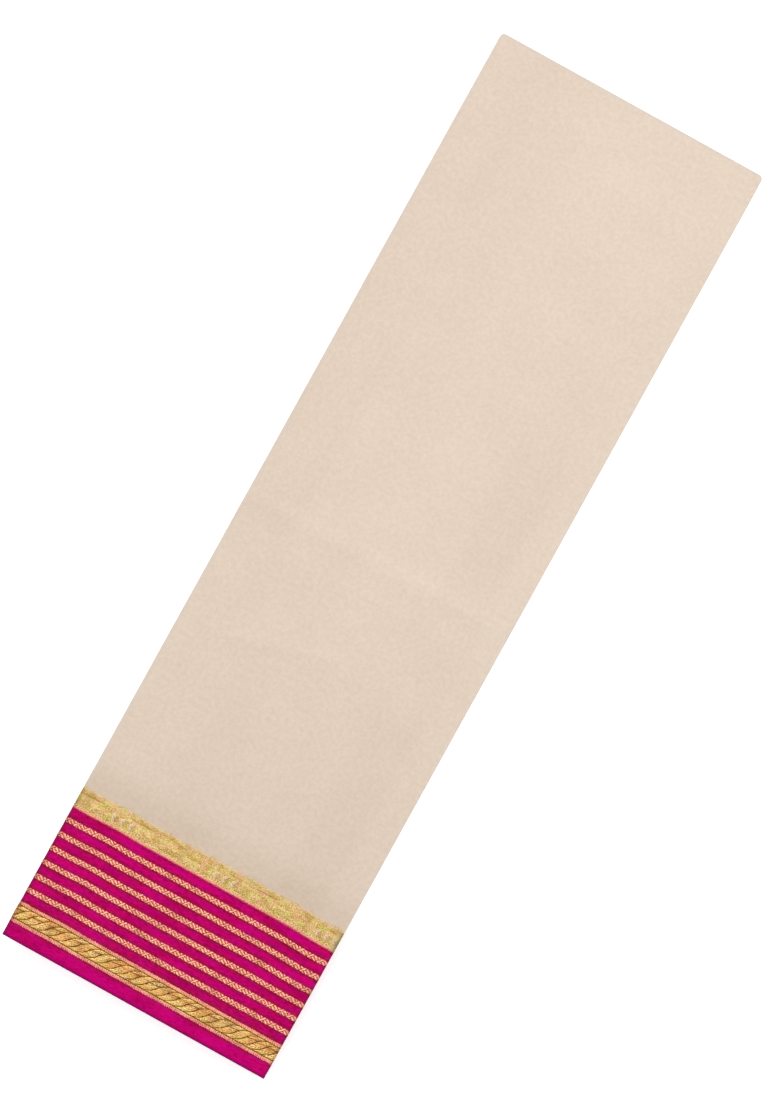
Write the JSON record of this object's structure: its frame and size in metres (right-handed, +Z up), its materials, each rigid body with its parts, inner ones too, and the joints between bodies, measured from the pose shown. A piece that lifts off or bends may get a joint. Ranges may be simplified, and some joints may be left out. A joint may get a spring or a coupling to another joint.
{
  "type": "folded mysore silk saree",
  "caption": "Crepe silk saree folded into a long flat strip: plain cream field, magenta border with latticed zari stripes, a twisted-rope band and a pale gold inner band.",
  "frame": {"origin": "on the surface it rests on, under the middle of the folded strip", "axes": "+X across the strip, from its folded side to the side with the cut end; +Y along the strip, from the woven border to the folded plain end; +Z up"},
  "size_m": [0.1718, 0.592, 0.0203],
  "materials": {
    "cream_silk": "satin",
    "magenta_silk": "satin",
    "stripe_zari": "satin",
    "rope_zari": "satin",
    "inner_zari": "satin"
  },
  "bodies": {
    "root": {"top_field": "cream_silk", "top_inner_band": "inner_zari", "top_ground_1": "magenta_silk", "top_ground_2": "magenta_silk", "top_ground_3": "magenta_silk", "top_ground_4": "magenta_silk", "top_ground_5": "magenta_silk", "top_ground_6": "magenta_silk", "top_ground_7": "magenta_silk", "top_zari_stripe_1": "stripe_zari", "top_zari_stripe_2": "stripe_zari", "top_zari_stripe_3": "stripe_zari", "top_zari_stripe_4": "stripe_zari", "top_zari_stripe_5": "stripe_zari", "top_zari_stripe_6": "stripe_zari", "top_rope_band": "rope_zari", "top_selvedge": "magenta_silk", "layers_field": "cream_silk", "layers_border": "magenta_silk", "under_field": "cream_silk", "under_border": "magenta_silk"}
  },
  "joints": []
}
